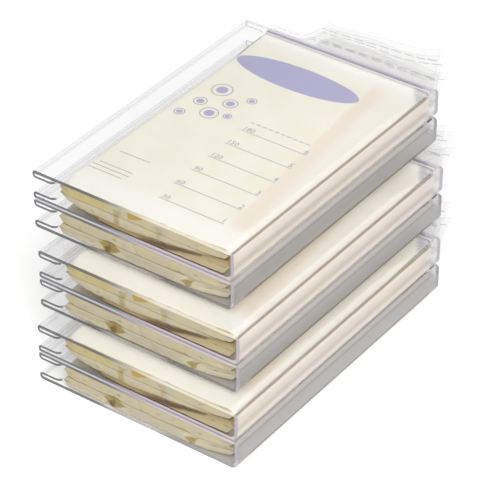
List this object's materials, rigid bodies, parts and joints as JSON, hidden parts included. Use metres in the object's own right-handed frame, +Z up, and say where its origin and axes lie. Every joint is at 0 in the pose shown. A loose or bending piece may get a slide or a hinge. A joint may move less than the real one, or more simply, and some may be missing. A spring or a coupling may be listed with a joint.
{
  "type": "breast milk storage freezer box",
  "caption": "Clear open-ended freezer sleeves with folded left lips, stacked in staggered boxes, holding flat zip bags of frozen milk whose tear-off headers stick out at the back.",
  "frame": {"origin": "centre of the lowest tray's underside, on the surface that the stack stands on", "axes": "+X to the right, towards the closed walls; +Y to the back, where the bag headers stick out; +Z up"},
  "size_m": [0.154, 0.252, 0.108],
  "materials": {
    "clear_tray": "clear polished sheet with a faint lavender cast",
    "bag_film": "thin glossy film over cream milk, printed with a measuring scale",
    "frozen_milk": "matt frozen cream",
    "zip_strip": "violet extruded strip",
    "header_film": "doubled translucent film"
  },
  "bodies": {
    "bottom_lower_tray": {"bottom_lower_tray": "clear_tray"},
    "bottom_upper_tray": {"bottom_upper_tray": "clear_tray"},
    "middle_lower_tray": {"middle_lower_tray": "clear_tray"},
    "middle_upper_tray": {"middle_upper_tray": "clear_tray"},
    "top_lower_tray": {"top_lower_tray": "clear_tray"},
    "top_upper_tray": {"top_upper_tray": "clear_tray"},
    "bottom_lower_under_bag": {"bottom_lower_under_pouch": "bag_film", "bottom_lower_under_milk": "frozen_milk", "bottom_lower_under_zip": "zip_strip", "bottom_lower_under_header": "header_film"},
    "bottom_lower_over_bag": {"bottom_lower_over_pouch": "bag_film", "bottom_lower_over_milk": "frozen_milk", "bottom_lower_over_zip": "zip_strip", "bottom_lower_over_header": "header_film"},
    "bottom_upper_under_bag": {"bottom_upper_under_pouch": "bag_film", "bottom_upper_under_milk": "frozen_milk", "bottom_upper_under_zip": "zip_strip", "bottom_upper_under_header": "header_film"},
    "bottom_upper_over_bag": {"bottom_upper_over_pouch": "bag_film", "bottom_upper_over_milk": "frozen_milk", "bottom_upper_over_zip": "zip_strip", "bottom_upper_over_header": "header_film"},
    "middle_lower_under_bag": {"middle_lower_under_pouch": "bag_film", "middle_lower_under_milk": "frozen_milk", "middle_lower_under_zip": "zip_strip", "middle_lower_under_header": "header_film"},
    "middle_lower_over_bag": {"middle_lower_over_pouch": "bag_film", "middle_lower_over_milk": "frozen_milk", "middle_lower_over_zip": "zip_strip", "middle_lower_over_header": "header_film"},
    "middle_upper_under_bag": {"middle_upper_under_pouch": "bag_film", "middle_upper_under_milk": "frozen_milk", "middle_upper_under_zip": "zip_strip", "middle_upper_under_header": "header_film"},
    "middle_upper_over_bag": {"middle_upper_over_pouch": "bag_film", "middle_upper_over_milk": "frozen_milk", "middle_upper_over_zip": "zip_strip", "middle_upper_over_header": "header_film"},
    "top_lower_under_bag": {"top_lower_under_pouch": "bag_film", "top_lower_under_milk": "frozen_milk", "top_lower_under_zip": "zip_strip", "top_lower_under_header": "header_film"},
    "top_lower_over_bag": {"top_lower_over_pouch": "bag_film", "top_lower_over_milk": "frozen_milk", "top_lower_over_zip": "zip_strip", "top_lower_over_header": "header_film"},
    "top_upper_under_bag": {"top_upper_under_pouch": "bag_film", "top_upper_under_milk": "frozen_milk", "top_upper_under_zip": "zip_strip", "top_upper_under_header": "header_film"},
    "top_upper_over_bag": {"top_upper_over_pouch": "bag_film", "top_upper_over_milk": "frozen_milk", "top_upper_over_zip": "zip_strip", "top_upper_over_header": "header_film"}
  },
  "joints": [
    {"name": "bottom_upper_tray_lift", "type": "slide", "parent": "bottom_lower_tray", "child": "bottom_upper_tray", "axis": [0, 0, 1], "range_m": [0, 0.04]},
    {"name": "middle_lower_tray_lift", "type": "slide", "parent": "bottom_upper_tray", "child": "middle_lower_tray", "axis": [0, 0, 1], "range_m": [0, 0.04]},
    {"name": "middle_upper_tray_lift", "type": "slide", "parent": "middle_lower_tray", "child": "middle_upper_tray", "axis": [0, 0, 1], "range_m": [0, 0.04]},
    {"name": "top_lower_tray_lift", "type": "slide", "parent": "middle_upper_tray", "child": "top_lower_tray", "axis": [0, 0, 1], "range_m": [0, 0.04]},
    {"name": "top_upper_tray_lift", "type": "slide", "parent": "top_lower_tray", "child": "top_upper_tray", "axis": [0, 0, 1], "range_m": [0, 0.04]},
    {"name": "bottom_lower_under_bag_slide", "type": "slide", "parent": "bottom_lower_tray", "child": "bottom_lower_under_bag", "axis": [0, 1, 0], "range_m": [0, 0.195]},
    {"name": "bottom_lower_over_bag_slide", "type": "slide", "parent": "bottom_lower_tray", "child": "bottom_lower_over_bag", "axis": [0, 1, 0], "range_m": [0, 0.195]},
    {"name": "bottom_upper_under_bag_slide", "type": "slide", "parent": "bottom_upper_tray", "child": "bottom_upper_under_bag", "axis": [0, 1, 0], "range_m": [0, 0.195]},
    {"name": "bottom_upper_over_bag_slide", "type": "slide", "parent": "bottom_upper_tray", "child": "bottom_upper_over_bag", "axis": [0, 1, 0], "range_m": [0, 0.195]},
    {"name": "middle_lower_under_bag_slide", "type": "slide", "parent": "middle_lower_tray", "child": "middle_lower_under_bag", "axis": [0, 1, 0], "range_m": [0, 0.195]},
    {"name": "middle_lower_over_bag_slide", "type": "slide", "parent": "middle_lower_tray", "child": "middle_lower_over_bag", "axis": [0, 1, 0], "range_m": [0, 0.195]},
    {"name": "middle_upper_under_bag_slide", "type": "slide", "parent": "middle_upper_tray", "child": "middle_upper_under_bag", "axis": [0, 1, 0], "range_m": [0, 0.195]},
    {"name": "middle_upper_over_bag_slide", "type": "slide", "parent": "middle_upper_tray", "child": "middle_upper_over_bag", "axis": [0, 1, 0], "range_m": [0, 0.195]},
    {"name": "top_lower_under_bag_slide", "type": "slide", "parent": "top_lower_tray", "child": "top_lower_under_bag", "axis": [0, 1, 0], "range_m": [0, 0.195]},
    {"name": "top_lower_over_bag_slide", "type": "slide", "parent": "top_lower_tray", "child": "top_lower_over_bag", "axis": [0, 1, 0], "range_m": [0, 0.195]},
    {"name": "top_upper_under_bag_slide", "type": "slide", "parent": "top_upper_tray", "child": "top_upper_under_bag", "axis": [0, 1, 0], "range_m": [0, 0.195]},
    {"name": "top_upper_over_bag_slide", "type": "slide", "parent": "top_upper_tray", "child": "top_upper_over_bag", "axis": [0, 1, 0], "range_m": [0, 0.195]}
  ]
}
